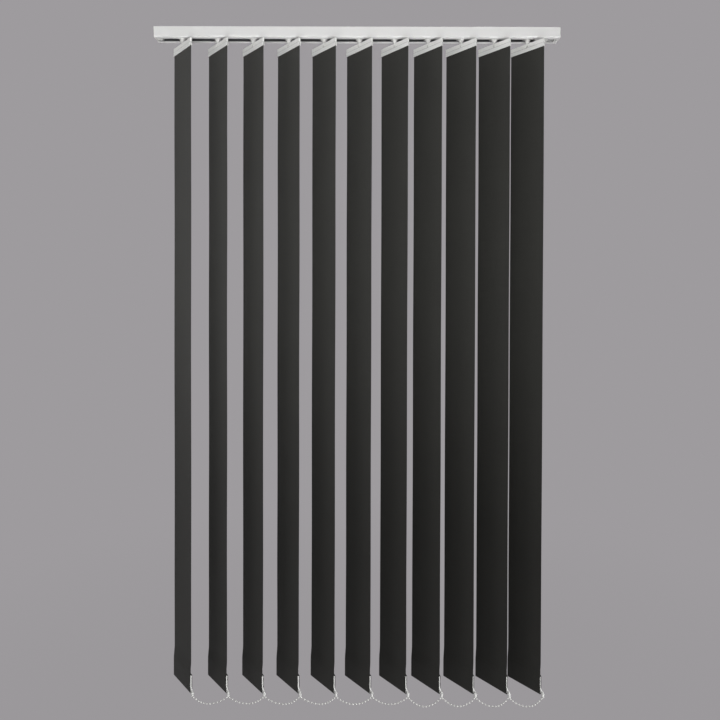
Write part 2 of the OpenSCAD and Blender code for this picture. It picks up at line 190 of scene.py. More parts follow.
class ChainSettings(PropertyGroup):
    """Sizes and colour of the bead chain."""

    length: FloatProperty(
        name="Length", description="Length of thread from one clip to the next", default=0.0885,
        unit="LENGTH")
    pitch: FloatProperty(
        name="Pitch", description="Distance between the beads", default=0.0073, unit="LENGTH")
    bead: FloatProperty(
        name="Bead", description="Diameter of a bead", default=0.0038, unit="LENGTH")
    thread: FloatProperty(
        name="Thread", description="Diameter of the thread", default=0.0008, unit="LENGTH")
    clip: FloatProperty(
        name="Clip", description="Outside diameter of a clip", default=0.0062, unit="LENGTH")
    clip_top: FloatProperty(
        name="Clip top", description="Height of a clip over its swivel point", default=0.0015,
        unit="LENGTH")
    clip_foot: FloatProperty(
        name="Clip foot", description="Depth of a clip under its swivel point", default=0.0078,
        unit="LENGTH")
    bore: FloatProperty(
        name="Bore", description="Diameter of the hole for the weight's peg", default=0.0036, unit="LENGTH")
    socket: FloatProperty(
        name="Socket", description="Diameter of the hollow for the peg's ball", default=0.0051,
        unit="LENGTH")
    socket_depth: FloatProperty(
        name="Socket depth", description="Depth of the hollow's centre under the swivel point",
        default=0.0042, unit="LENGTH")
    eye: FloatProperty(
        name="Eye", description="Diameter of the hole in a clip's foot", default=0.0010, unit="LENGTH")
    tie: FloatProperty(
        name="Tie", description="Depth of the thread's ends under the swivel point", default=0.0073,
        unit="LENGTH")
    sway: FloatProperty(
        name="Sway", description="Largest push of a length to the front or back", default=0.0008,
        unit="LENGTH")
    lean: FloatVectorProperty(
        name="Lean", description="Sideways push of each length's lowest point", size=10, unit="LENGTH",
        default=(-0.004, 0.004, 0.005, 0.006, 0.001, 0.0, -0.001, 0.001, 0.004, 0.004))
    plastic: FloatVectorProperty(
        name="Plastic", description="Colour of the beads and clips", default=(0.88, 0.88, 0.85),
        subtype="COLOR")
    nylon: FloatVectorProperty(
        name="Nylon", description="Colour of the thread", default=(0.62, 0.62, 0.59), subtype="COLOR")


class FinishSettings(PropertyGroup):
    """Colours of the rail and of the moulded and metal parts, and of the shade painted into their hollows
    and steps.
    """

    rail: FloatVectorProperty(
        name="Rail", description="Powder coat of the headrail", default=(0.75, 0.75, 0.74), subtype="COLOR")
    # Painted shade rather than bare metal: a dark colour laid on the faces inside the headrail and on its
    # slot's edges
    track: FloatVectorProperty(
        name="Track", description="Bare metal inside the headrail", default=(0.14, 0.14, 0.145),
        subtype="COLOR")
    # Depth of the walls and half width of the slot that bound the painted shade inside the headrail
    wall: FloatProperty(
        name="Wall", description="Depth of the headrail's coated walls", default=0.0009, unit="LENGTH")
    slot: FloatProperty(
        name="Slot", description="Half of the width of the slot with its bare edges", default=0.0085,
        unit="LENGTH")
    # Height over the underside below which the edges of slots and holes get no painted shade
    rim: FloatProperty(
        name="Rim", description="Height of the coat on the edges of slots and holes", default=0.0002,
        unit="LENGTH")
    cap: FloatVectorProperty(
        name="Cap", description="Plastic of the end caps", default=(0.75, 0.75, 0.73), subtype="COLOR")
    # Painted shade rather than grey plastic: a grey laid on the walls of the control cap's recess
    recess: FloatVectorProperty(
        name="Recess", description="Grey plastic inside the control cap", default=(0.36, 0.36, 0.36),
        subtype="COLOR")
    recess_size: FloatVectorProperty(
        name="Recess size", description="Length, half depth and height of the control cap's recess",
        default=(0.050, 0.0084, 0.006), subtype="XYZ", unit="LENGTH")
    # Painted shade: near black laid on the walls of the control cap's outlets
    outlet_shade: FloatVectorProperty(
        name="Outlet", description="Dark inside of the control cap's outlets", default=(0.03, 0.03, 0.03),
        subtype="COLOR")
    outlet_span: FloatVectorProperty(
        name="Outlet span", description="Nearest and farthest edge of the outlets from the rail's end",
        default=(0.0015, 0.0053), size=2, unit="LENGTH")
    carrier: FloatVectorProperty(
        name="Carrier", description="Plastic of the carriers", default=(0.34, 0.34, 0.34), subtype="COLOR")
    hanger: FloatVectorProperty(
        name="Hanger", description="Plastic of the hangers", default=(0.84, 0.84, 0.82), subtype="COLOR")
    # Painted shade rather than dust: a darker line laid along the step over each hanger's jaws
    step_shade: FloatVectorProperty(
        name="Groove", description="Dust in the step over a hanger's jaws", default=(0.42, 0.42, 0.40),
        subtype="COLOR")
    step_shade_span: FloatVectorProperty(
        name="Groove span", description="Lower and upper edge of that step over the hanger's foot",
        default=(0.0075, 0.0084), size=2, unit="LENGTH")
    hook: FloatVectorProperty(
        name="Hook", description="Plastic of the hooks", default=(0.64, 0.64, 0.62), subtype="COLOR")
    weight: FloatVectorProperty(
        name="Weight", description="Plastic of the bottom weights", default=(0.88, 0.88, 0.86),
        subtype="COLOR")
    steel: FloatVectorProperty(
        name="Steel", description="Zinc coat of the brackets", default=(0.58, 0.59, 0.61), subtype="COLOR")
    rod: FloatVectorProperty(
        name="Rod", description="Drawn metal of the tilt rod", default=(0.70, 0.70, 0.71), subtype="COLOR")


class StageSettings(PropertyGroup):
    """Floor, light and camera."""

    backdrop: FloatVectorProperty(
        name="Backdrop", description="Colour of the floor and the backdrop",
        default=(0.342, 0.328, 0.342), subtype="COLOR")
    floor_z: FloatProperty(
        name="Floor", description="Height of the floor", default=-1.9, unit="LENGTH")
    floor_glow: FloatProperty(
        name="Floor glow", description="Share of the floor's own brightness near the blind", default=0.9)
    sky: FloatProperty(
        name="Sky", description="Strength of the even light", default=0.15)
    front: FloatProperty(
        name="Front", description="Power of the lamp behind the camera", default=11.3, unit="POWER")
    left: FloatProperty(
        name="Left", description="Power of the lamp at the left", default=6.0, unit="POWER")
    right: FloatProperty(
        name="Right", description="Power of the tall lamp at the right", default=10.8, unit="POWER")
    foot: FloatProperty(
        name="Foot", description="Power of the lamp beside the vanes' feet", default=3.1, unit="POWER")
    low: FloatProperty(
        name="Low", description="Power of the lamp under the rail", default=3.0, unit="POWER")
    back: FloatProperty(
        name="Back", description="Power of the lamp behind the blind", default=19.0, unit="POWER")
    top: FloatProperty(
        name="Top", description="Power of the lamp over the rail", default=8.0, unit="POWER")
    camera: FloatVectorProperty(
        name="Camera", description="Place of the camera", default=(0.0266, -1.4403, -0.6086),
        subtype="TRANSLATION")
    yaw: FloatProperty(
        name="Yaw", description="Turn of the camera to the left", default=math.radians(0.07),
        subtype="ANGLE")
    pitch: FloatProperty(
        name="Pitch", description="Tilt of the camera upwards", default=math.radians(-0.60),
        subtype="ANGLE")
    roll: FloatProperty(
        name="Roll", description="Roll of the camera", default=math.radians(-0.16), subtype="ANGLE")
    lens: FloatProperty(
        name="Lens", description="Focal length in millimetres", default=31.70)
    shift: FloatVectorProperty(
        name="Shift", description="Shift of the picture", default=(-0.01028, -0.07625), size=2)


def grid_quads(rows, cols, wrap=False):
    """Quads of a grid of rows by cols points, whose last column joins the first where wrap is true."""
    i, j = np.meshgrid(np.arange(rows - 1), np.arange(cols if wrap else cols - 1), indexing="ij")
    k = (j + 1) % cols
    return np.stack([i * cols + j, i * cols + k, (i + 1) * cols + k, (i + 1) * cols + j], -1).reshape(-1, 4)


def end_quads(first, cols):
    """Quads in strips across a ring of an even number of points, which close the end of a tube."""
    j = np.arange(cols // 2 - 1)
    return first + np.stack([j, cols - 1 - j, cols - 2 - j, j + 1], 1)


def tube_quads(rows, cols):
    """Quads of a closed tube of rows rings of cols points, with both its ends."""
    last = end_quads((rows - 1) * cols, cols)[:, ::-1]
    return np.concatenate([grid_quads(rows, cols, wrap=True), end_quads(0, cols), last])


def copies(points, quads, places, turns):
    """A small shape set at many places: place + turn * point for every pair, as one array."""
    count, size = len(places), len(points)
    moved = np.einsum("nij,mj->nmi", turns, points) + places[:, None, :]
    faces = quads[None] + (np.arange(count) * size)[:, None, None]
    return moved.reshape(-1, 3), faces.reshape(-1, 4)


def joined(*shapes):
    """Several (points, quads) pairs as one."""
    starts = np.cumsum([0] + [len(points) for points, _ in shapes[:-1]])
    return (np.concatenate([points for points, _ in shapes]),
            np.concatenate([quads + start for (_, quads), start in zip(shapes, starts)]))


def add_piece(name, points, quads, material, body, cloth_map=None, thread_mask=None):
    """Makes a mesh piece from arrays, gives it its material and lets it ride on a body."""
    mesh = bpy.data.meshes.new(name)
    mesh.from_pydata(points, [], quads.tolist())
    mesh.polygons.foreach_set("use_smooth", np.full(len(quads), True))
    if cloth_map is not None:
        layer = mesh.uv_layers.new(name="cloth")
        layer.uv.foreach_set("vector", cloth_map[quads.ravel()].astype(np.float32).ravel())
    if thread_mask is not None:
        layer = mesh.attributes.new("thread", "FLOAT", "POINT")
        layer.data.foreach_set("value", thread_mask.astype(np.float32))
    mesh.update()
    mesh.materials.append(material)
    piece = bpy.data.objects.new(name, mesh)
    bpy.context.scene.collection.objects.link(piece)
    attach(piece, body)
    return piece


def smooth_step(low, high, value):
    """0 below low, 1 above high and 3t^2 - 2t^3 between them."""
    t = np.clip((value - low) / (high - low), 0, 1)
    return t * t * (3 - 2 * t)


def run_along(line):
    """Distance of each point of a line from its first one, measured along the line."""
    return np.concatenate([[0], np.cumsum(np.linalg.norm(np.diff(line, axis=0), axis=1))])


def ways_along(line):
    """Unit vector along a line at each of its points."""
    along = np.gradient(line, axis=0)
    return along / np.linalg.norm(along, axis=1)[:, None]


def ring_angles(count):
    """Angles of count points spread evenly over a full turn."""
    return np.linspace(0, 2 * math.pi, count, endpoint=False)


def even_steps(line, count):
    """count points at equal distances along a line of points."""
    run = run_along(line)
    at = np.linspace(0, run[-1], count)
    return np.stack([np.interp(at, run, line[:, k]) for k in range(line.shape[1])], 1)


def vane_line(vane):
    """Centre line of the cloth in the vane's section: (depth, height) points from its top to the hem's end.

    The cloth hangs straight, swings out to the pocket's front wall by a smooth step, turns round the
    pocket's foot in a half circle, rises along the back wall and swings in by a smooth step to lie behind
    itself. The front is the side of negative depth.
    """
    reach = (vane.pocket_depth - vane.thickness) / 2
    pocket_top = VANE_FOOT + vane.pocket
    seam = pocket_top + vane.hem / 2
    shoulder = pocket_top - vane.pocket_depth / 2
    centre = VANE_FOOT + reach + vane.thickness / 2

    def front(height):
        return -reach * smooth_step(-pocket_top - vane.swing, -shoulder, -height)

    straight = np.linspace(VANE_TOP, pocket_top + vane.swing, STRAIGHT_ROWS)
    down = np.linspace(pocket_top + vane.swing, centre, FINE_STEPS)[1:]
    turn = np.linspace(0, math.pi, FINE_STEPS)[1:-1]
    up = np.linspace(centre, pocket_top + vane.hem, FINE_STEPS)
    gather = smooth_step(shoulder, seam, up)
    back = reach + (front(up) + CLOTH_LAP * vane.thickness - reach) * gather
    pocket = np.concatenate([
        np.stack([front(down), down], 1),
        np.stack([-reach * np.cos(turn), centre - reach * np.sin(turn)], 1),
        np.stack([back, up], 1)])
    return np.concatenate([np.stack([front(straight), straight], 1), even_steps(pocket, POCKET_ROWS)])


def vane_shape(vane, number):
    """The cloth of one vane: a thin strip carried along vane_line, with a slight curl, twist and ripple.

    A point is line(s) + u across + n * normal(s). Between the hanger and the hem its depth also gets
    cup * (1 - (2u/width)^2) + twist * u + ripple * sin, faded out at both ends by smooth steps.
    """
    draw = np.random.default_rng(VANE_SEED + number)
    line = vane_line(vane)
    run = run_along(line)
    along = ways_along(line)
    normal = np.stack([-along[:, 1], along[:, 0]], 1)
    across = np.linspace(-0.5, 0.5, CLOTH_COLUMNS) * vane.width
    u = np.concatenate([across, across[::-1]])
    n = np.repeat([vane.thickness / 2, -vane.thickness / 2], len(across))
    depth = line[:, :1] + normal[:, :1] * n
    height = line[:, 1:] + normal[:, 1:] * n
    swing_top = VANE_FOOT + vane.pocket + vane.swing
    free = (smooth_step(-HANGER_FOOT, -HANGER_FOOT + vane.fade, -height)
            * smooth_step(swing_top, swing_top + vane.fade, height))
    share = 2 * u / vane.width
    cup = vane.cup * (1 + CUP_SPREAD * draw.uniform(-1, 1))
    twist = vane.twist * draw.uniform(-1, 1)
    phase, waves = draw.uniform(0, 2 * math.pi), draw.uniform(*EDGE_WAVES)
    ripple = vane.ripple * np.sin(waves * height + phase) * share ** 2
    depth = depth + free * (cup * (1 - share ** 2) + twist * u + ripple)
    points = np.stack([np.broadcast_to(u, depth.shape), depth, height], -1).reshape(-1, 3)
    woven = -run[:, None] - number * WOVEN_STEP
    cloth_map = np.stack([np.broadcast_to(u, depth.shape), np.broadcast_to(woven, depth.shape)], -1)
    return points, tube_quads(*depth.shape), cloth_map.reshape(-1, 2), run[-1]


def at_vane(points, angle, x):
    """Points in a vane's own axes, turned by its angle and moved along the rail."""
    c, s = math.cos(-angle), math.sin(-angle)
    turn = np.array([[c, -s, 0], [s, c, 0], [0, 0, 1]])
    return points @ turn.T + np.array([x, 0, 0])


def turned_shape(x, radius, cols):
    """A closed body along X: a ring (x, r cos a, r sin a) for each pair of x and radius."""
    a = ring_angles(cols)
    rings = [x[:, None] + 0 * a, radius[:, None] * np.cos(a), radius[:, None] * np.sin(a)]
    return np.stack(rings, -1).reshape(-1, 3), tube_quads(len(x), cols)


def lens_shape(length, width, rows=5, cols=6):
    """A stitch along X: rings of radius sqrt(1 - t^2), t nearly from -1 to 1, stretched to its sizes."""
    t = np.sin(np.linspace(-STITCH_REACH, STITCH_REACH, rows))
    return turned_shape(t * length / 2, np.sqrt(1 - t ** 2) * width / 2, cols)


def hem_shape(vane):
    """Two rows of stitches through a vane's hem, in its own axes: one on each face of the lapped cloth."""
    step = vane.stitch + vane.stitch_gap
    count = int((vane.width - 2 * vane.stitch) / step)
    x = (np.arange(count) - (count - 1) / 2) * step
    z = VANE_FOOT + vane.pocket + vane.hem * STITCH_LINE
    # The cloth's way down, as far as the pocket's front wall
    line = vane_line(vane)[:STRAIGHT_ROWS + POCKET_ROWS // 3]
    sheet = np.interp(-z, -line[:, 1], line[:, 0])
    faces = [sheet - vane.thickness / 2, sheet + (CLOTH_LAP + 0.5) * vane.thickness]
    places = np.concatenate([np.stack([x, np.full(count, y), np.full(count, z)], 1) for y in faces])
    points, quads = lens_shape(vane.stitch, vane.stitch_width)
    return copies(points, quads, places, np.broadcast_to(np.eye(3), (len(places), 3, 3)))


def catenary(span, length, reach=20, halvings=60):
    """Parameter a of a hanging line, from 2 a sinh(span / 2a) = length, by halving an interval."""
    low, high = span / reach, span * reach
    for _ in range(halvings):
        middle = (low + high) / 2
        if 2 * middle * math.sinh(span / (2 * middle)) > length:
            low = middle
        else:
            high = middle
    return (low + high) / 2


def chain_line(span, length, arc):
    """Points of a hanging line at arc lengths s from its lowest: x = a asinh(s/a), z = sqrt(a^2 + s^2)."""
    a = catenary(span, length)
    return np.stack([a * np.arcsinh(arc / a), np.zeros_like(arc),
                     np.sqrt(a * a + arc * arc) - math.sqrt(a * a + length * length / 4)], 1)


def turns_along(line):
    """Rotations that take X to the direction of the line at each point."""
    along = ways_along(line)
    side = np.cross([0, 0, 1], along)
    side /= np.linalg.norm(side, axis=1)[:, None]
    return np.stack([along, side, np.cross(along, side)], -1)


def tube_shape(line, diameter, cols=8):
    """A round tube along a line: point = line(s) + r (cos a * side + sin a * up)."""
    turns = turns_along(line)
    a = ring_angles(cols)
    ring = np.stack([np.zeros(cols), np.cos(a), np.sin(a)], 1) * diameter / 2
    points = np.einsum("nij,mj->nmi", turns, ring) + line[:, None]
    return points.reshape(-1, 3), tube_quads(len(line), cols)


def bead_shape(diameter, rows=6, cols=8):
    """A bead along X: a ball with blunt ends, r = (1 - |t|^p)^(1/q) with t nearly from -1 to 1."""
    t = np.sin(np.linspace(-BEAD_REACH, BEAD_REACH, rows))
    p, q = BEAD_POWERS
    r = (1 - np.abs(t) ** p) ** (1 / q)
    return turned_shape(BEAD_LENGTH * t * diameter / 2, r * diameter / 2, cols)


def span_shape(chain, k):
    """One length of bead chain between clips k and k + 1: a hanging thread with beads set along it.

    The line is pushed aside by (lean, sway) * cos^2. The third array is 1 on the thread, 0 on the beads.
    """
    gap = PIVOT_X[k + 1] - PIVOT_X[k]
    length = chain.length
    count = int(length / chain.pitch)
    ends = (length - (count - 1) * chain.pitch) / 2
    stops = -length / 2 + ends + np.arange(count) * chain.pitch
    sway = chain.sway * np.random.default_rng(CHAIN_SEED + k).uniform(-1, 1)

    def hung(arc):
        line = chain_line(gap, length, arc)
        push = np.cos(math.pi * arc / length) ** 2
        return line + push[:, None] * np.array([chain.lean[k], sway, 0])

    beads = hung(stops)
    thread = tube_shape(hung(np.linspace(-length / 2, length / 2, THREAD_ROWS)), chain.thread)
    strung = copies(*bead_shape(chain.bead), beads, turns_along(beads))
    points, quads = joined(thread, strung)
    middle = np.array([(CLIP_X[k] + CLIP_X[k + 1]) / 2, CLIP[1], CLIP[2] - chain.tie])
    return points + middle, quads, np.repeat([1, 0], [len(thread[0]), len(strung[0])])


def clip_shape(chain, cols=24, foot_rows=5, hollow_rows=8):
    """A clip round the ball of a weight's peg: a closed section turned about Z, (r cos a, r sin a, z).

    The section runs down the outside, round the foot to the eye, and up the hollow, which is an arc of a
    circle, r = R sin t, z = -depth - R cos t, and ends at the bore.
    """
    outer, bore, ball, eye = chain.clip / 2, chain.bore / 2, chain.socket / 2, chain.eye / 2
    edge = CLIP_EDGE
    turn = np.linspace(0, math.pi / 2, foot_rows)
    foot = outer - eye - edge
    t = np.linspace(math.asin(2 * eye / ball), math.pi - math.asin(bore / ball), hollow_rows)
    r = np.concatenate([
        [bore, bore + edge, outer - edge, outer], eye + edge + foot * np.cos(turn), [eye, eye],
        ball * np.sin(t)])
    z = np.concatenate([
        np.array([-edge, 0, 0, -edge]) + chain.clip_top, foot * (1 - np.sin(turn)) - chain.clip_foot,
        np.array([edge, 2 * edge]) - chain.clip_foot, -chain.socket_depth - ball * np.cos(t)])
    a = ring_angles(cols)[:, None]
    points = np.stack([r * np.cos(a), r * np.sin(a), np.broadcast_to(z, (cols, len(r)))], -1)
    quads = np.concatenate([grid_quads(cols, len(r), wrap=True), closing_quads(cols, len(r))])
    return points.reshape(-1, 3), quads


def closing_quads(rows, cols):
    """Quads that join the last row of a grid to its first, for a shape that is closed both ways."""
    j = np.arange(cols)
    k = (j + 1) % cols
    last = (rows - 1) * cols
    return np.stack([last + j, last + k, k, j], 1)


def new_group(name, inputs, outputs):
    """An empty shader node group with the named inputs (name, kind, default) and outputs (name, kind)."""
    group = bpy.data.node_groups.new(name, "ShaderNodeTree")
    for label, kind, value in inputs:
        socket = group.interface.new_socket(name=label, in_out="INPUT", socket_type=kind)
        if value is not None:
            socket.default_value = value
    for label, kind in outputs:
        group.interface.new_socket(name=label, in_out="OUTPUT", socket_type=kind)
    return group, group.nodes.new("NodeGroupInput"), group.nodes.new("NodeGroupOutput")


def add_node(tree, kind, inputs=(), **settings):
    """A node of one kind, with its settings, and a value or a link for each named or numbered input."""
    node = tree.nodes.new(kind)
    for key, value in settings.items():
        setattr(node, key, value)
    for key, value in dict(inputs).items():
        if isinstance(value, bpy.types.NodeSocket):
            tree.links.new(value, node.inputs[key])
        else:
            node.inputs[key].default_value = value
    return node


def math_node(tree, operation, first, second=None, third=None):
    """The result of one sum on values or sockets."""
    given = {i: v for i, v in enumerate((first, second, third)) if v is not None}
    return add_node(tree, "ShaderNodeMath", given, operation=operation).outputs[0]


def mixed(tree, factor, first, second):
    """A colour between two colours."""
    return add_node(tree, "ShaderNodeMix", {0: factor, 6: first, 7: second}, data_type="RGBA").outputs[2]


def eased(tree, value, low, high, least=0.0):
    """least below low, 1 above high and a smooth step between them."""
    given = {"Value": value, "From Min": low, "From Max": high, "To Min": least}
    return add_node(tree, "ShaderNodeMapRange", given, interpolation_type="SMOOTHSTEP").outputs["Result"]


def scaled(tree, colour, tone):
    """A colour times a tone."""
    node = add_node(tree, "ShaderNodeVectorMath", {0: colour, "Scale": tone}, operation="SCALE")
    return node.outputs[0]


def surface_grain_group():
    """Fine skin of a moulded or coated surface: a drifting tone, a roughness that follows it, a height."""
    group, given, result = new_group(
        "surface_grain",
        [("Place", "NodeSocketVector", None), ("Colour", "NodeSocketColor", (0.7, 0.7, 0.7, 1)),
         ("Grain scale", "NodeSocketFloat", 1500.0), ("Drift scale", "NodeSocketFloat", 20.0),
         ("Drift", "NodeSocketFloat", 0.06), ("Roughness", "NodeSocketFloat", 0.4)],
        [("Colour", "NodeSocketColor"), ("Roughness", "NodeSocketFloat"), ("Height", "NodeSocketFloat")])
    place = given.outputs["Place"]
    drift = add_node(group, "ShaderNodeTexNoise", {
        "Vector": place, "Scale": given.outputs["Drift scale"], "Detail": 4.0, "Roughness": 0.6})
    grain = add_node(group, "ShaderNodeTexNoise", {
        "Vector": place, "Scale": given.outputs["Grain scale"], "Detail": 2.0, "Roughness": 0.55})
    swing = math_node(group, "MULTIPLY_ADD", drift.outputs["Fac"], 2.0, -1.0)
    tone = math_node(group, "MULTIPLY_ADD", swing, given.outputs["Drift"], 1.0)
    rough = math_node(group, "MULTIPLY_ADD", swing, DRIFT_ROUGHNESS, given.outputs["Roughness"])
    group.links.new(scaled(group, given.outputs["Colour"], tone), result.inputs["Colour"])
    group.links.new(rough, result.inputs["Roughness"])
    group.links.new(grain.outputs["Fac"], result.inputs["Height"])
    return group


def settled_dust_group():
    """A thin film of dust on faces that look up, broken by noise, laid over a colour and a roughness."""
    group, given, result = new_group(
        "settled_dust",
        [("Place", "NodeSocketVector", None), ("Colour", "NodeSocketColor", (0.7, 0.7, 0.7, 1)),
         ("Roughness", "NodeSocketFloat", 0.4), ("Amount", "NodeSocketFloat", 0.4)],
        [("Colour", "NodeSocketColor"), ("Roughness", "NodeSocketFloat")])
    facing = add_node(group, "ShaderNodeNewGeometry")
    split = add_node(group, "ShaderNodeSeparateXYZ", {0: facing.outputs["Normal"]})
    up = eased(group, split.outputs["Z"], *DUST_FACING)
    specks = add_node(group, "ShaderNodeTexNoise", {
        "Vector": given.outputs["Place"], "Scale": 160.0, "Detail": 6.0, "Roughness": 0.7})
    film = math_node(group, "MULTIPLY", up, eased(group, specks.outputs["Fac"], *DUST_BREAKS))
    film = math_node(group, "MULTIPLY", film, given.outputs["Amount"])
    colour = mixed(group, film, given.outputs["Colour"], DUST_COLOUR)
    rough = math_node(group, "MULTIPLY_ADD", film, DUST_ROUGHNESS, given.outputs["Roughness"])
    group.links.new(colour, result.inputs["Colour"])
    group.links.new(rough, result.inputs["Roughness"])
    return group


def shared_group(name, make):
    """A node group by name, made the first time it is asked for."""
    return bpy.data.node_groups.get(name) or make()


def new_material(name):
    """An empty material with a Principled shader: (material, node tree, shader)."""
    material = bpy.data.materials.new(name)
    material.use_nodes = True
    tree = material.node_tree
    return material, tree, tree.nodes["Principled BSDF"]


def thread_mask_node(tree, chain):
    """1 on the thread of the chain and 0 on its beads, from the piece's attribute and no setting."""
    return add_node(tree, "ShaderNodeAttribute", attribute_name="thread").outputs["Fac"]


def box_mask_node(tree, low, high):
    """1 inside a box of Object coordinates and 0 outside it."""
    place = add_node(tree, "ShaderNodeTexCoord").outputs["Object"]
    split = add_node(tree, "ShaderNodeSeparateXYZ", {0: place})
    mask = 1.0
    for axis, least, most in zip(split.outputs, low, high):
        mask = math_node(tree, "MULTIPLY", mask, math_node(tree, "GREATER_THAN", axis, least))
        mask = math_node(tree, "MULTIPLY", mask, math_node(tree, "LESS_THAN", axis, most))
    return mask


def track_shade_mask_node(tree, finish):
    """1 inside the headrail's hollows and on the edges of its slot, where shade is painted, and 0 on its
    outer faces.
    """
    low = (2 * RAIL_LOW.x, RAIL_LOW.y + finish.wall, RAIL_LOW.z + finish.wall)
    high = (2 * RAIL_HIGH.x, RAIL_HIGH.y - finish.wall, RAIL_HIGH.z - finish.wall)
    hollow = box_mask_node(tree, low, high)
    low = (2 * RAIL_LOW.x, -finish.slot, RAIL_LOW.z + finish.rim)
    edges = box_mask_node(tree, low, (2 * RAIL_HIGH.x, finish.slot, RAIL_HIGH.z - finish.rim))
    return math_node(tree, "MAXIMUM", hollow, edges)


def recess_shade_mask_node(tree, finish):
    """1 on the walls of the recess in the control cap's underside, where shade is painted."""
    length, half, height = finish.recess_size
    low = (RAIL_HIGH.x - length, -half, RAIL_LOW.z + finish.rim)
    return box_mask_node(tree, low, (RAIL_HIGH.x, half, RAIL_LOW.z + height))


def outlet_shade_mask_node(tree, finish):
    """1 on the walls of the two outlets beside that recess, where shade is painted."""
    half, height = finish.recess_size[1:]
    nearest, farthest = finish.outlet_span
    low = (RAIL_HIGH.x - farthest, -half, RAIL_LOW.z + finish.rim)
    return box_mask_node(tree, low, (RAIL_HIGH.x - nearest, half, RAIL_LOW.z + height))


def step_shade_mask_node(tree, finish):
    """1 along the step between a hanger's bar and its jaws, where a line of shade is painted."""
    least, most = finish.step_shade_span
    low = (RAIL_LOW.x, 2 * RAIL_LOW.y, HANGER_FOOT + least)
    return box_mask_node(tree, low, (RAIL_HIGH.x, 2 * RAIL_HIGH.y, HANGER_FOOT + most))


def skinned_material(name, colour, roughness, grain, grain_depth, drift=0.05, dust=0.35, metal=0.0,
                     stretch=None, patches=()):
    """A coated, moulded or drawn finish: grain, drift and dust on Object coordinates, with a fine bump.

    A patch is (mask function, settings, colour): its colour is used where the function's mask is 1, such as
    a thread's nylon or painted shade in a hollow.
    """
    material, tree, shader = new_material(name)
    place = add_node(tree, "ShaderNodeTexCoord").outputs["Object"]
    if stretch is not None:
        place = add_node(tree, "ShaderNodeMapping", {"Vector": place, "Scale": stretch}).outputs["Vector"]
    patched = (*colour, 1)
    for mask_node, settings, other in patches:
        patched = mixed(tree, mask_node(tree, settings), patched, (*other, 1))
    skin = add_node(tree, "ShaderNodeGroup", {
        "Place": place, "Colour": patched, "Grain scale": grain, "Drift": drift, "Roughness": roughness},
        node_tree=shared_group("surface_grain", surface_grain_group))
    film = add_node(tree, "ShaderNodeGroup", {
        "Place": place, "Colour": skin.outputs["Colour"], "Roughness": skin.outputs["Roughness"],
        "Amount": dust}, node_tree=shared_group("settled_dust", settled_dust_group))
    tree.links.new(film.outputs["Colour"], shader.inputs["Base Color"])
    tree.links.new(film.outputs["Roughness"], shader.inputs["Roughness"])
    bump = add_node(tree, "ShaderNodeBump", {
        "Height": skin.outputs["Height"], "Strength": 0.5, "Distance": grain_depth})
    tree.links.new(bump.outputs["Normal"], shader.inputs["Normal"])
    shader.inputs["Metallic"].default_value = metal
    return material


def ridge_node(tree, at):
    """Height over a thread, |sin(pi * at)|, for a place counted in threads."""
    return math_node(tree, "ABSOLUTE", math_node(tree, "SINE", math_node(tree, "MULTIPLY", at, math.pi)))


def slub_node(tree, place, x_scale, y_scale):
    """Noise drawn out along a thread, for its thick and thin stretches."""
    drawn = add_node(tree, "ShaderNodeMapping", {"Vector": place, "Scale": (x_scale, y_scale, 1.0)})
    return add_node(tree, "ShaderNodeTexNoise", {
        "Vector": drawn.outputs["Vector"], "Scale": 1.0, "Detail": 3.0, "Roughness": 0.6}).outputs["Fac"]


def cloth_material(vane):
    """Coated plain weave on the cloth map: crossed threads with shade painted into their hollows, slubs and
    a sealed, darker cut edge.
    """
    material, tree, shader = new_material("woven_cloth")
    place = add_node(tree, "ShaderNodeUVMap", uv_map="cloth").outputs["UV"]
    split = add_node(tree, "ShaderNodeSeparateXYZ", {0: place})
    u = math_node(tree, "DIVIDE", split.outputs["X"], WEAVE_PITCH)
    v = math_node(tree, "DIVIDE", split.outputs["Y"], WEAVE_PITCH)
    cells = math_node(tree, "ADD", math_node(tree, "FLOOR", u), math_node(tree, "FLOOR", v))
    over = math_node(tree, "FLOORED_MODULO", cells, 2.0)
    height = add_node(
        tree, "ShaderNodeMix", {0: over, 2: ridge_node(tree, u), 3: ridge_node(tree, v)}).outputs[0]
    warp = slub_node(tree, place, *SLUB_SCALES)
    weft = slub_node(tree, place, *SLUB_SCALES[::-1])
    yarn = add_node(tree, "ShaderNodeMix", {0: over, 2: warp, 3: weft}).outputs[0]
    cloud = add_node(tree, "ShaderNodeTexNoise", {"Vector": place, "Scale": 9.0, "Detail": 3.0})
    start, end = SEALED_STRIP
    sealed = eased(tree, math_node(tree, "ABSOLUTE", split.outputs["X"]),
                   vane.width / 2 - start, vane.width / 2 - end)
    tone = math_node(tree, "MULTIPLY_ADD", yarn, *YARN_TONE)
    # The weave's height darkens the hollows between threads: painted shade
    for mask, line in ((height, WEAVE_SHADING), (cloud.outputs["Fac"], CLOUD_TONE), (sealed, SEALED_TONE)):
        tone = math_node(tree, "MULTIPLY", tone, math_node(tree, "MULTIPLY_ADD", mask, *line))
    tree.links.new(scaled(tree, tuple(vane.cloth), tone), shader.inputs["Base Color"])
    rough = math_node(tree, "MULTIPLY_ADD", yarn, *YARN_ROUGHNESS)
    rough = math_node(tree, "MULTIPLY_ADD", sealed, SEALED_ROUGHNESS, rough)
    tree.links.new(rough, shader.inputs["Roughness"])
    bump = add_node(tree, "ShaderNodeBump", {"Height": height, "Strength": 0.6, "Distance": 0.00016})
    tree.links.new(bump.outputs["Normal"], shader.inputs["Normal"])
    shader.inputs["Sheen Weight"].default_value = 0.12
    shader.inputs["Sheen Roughness"].default_value = 0.45
    shader.inputs["Specular IOR Level"].default_value = 0.35
    return material


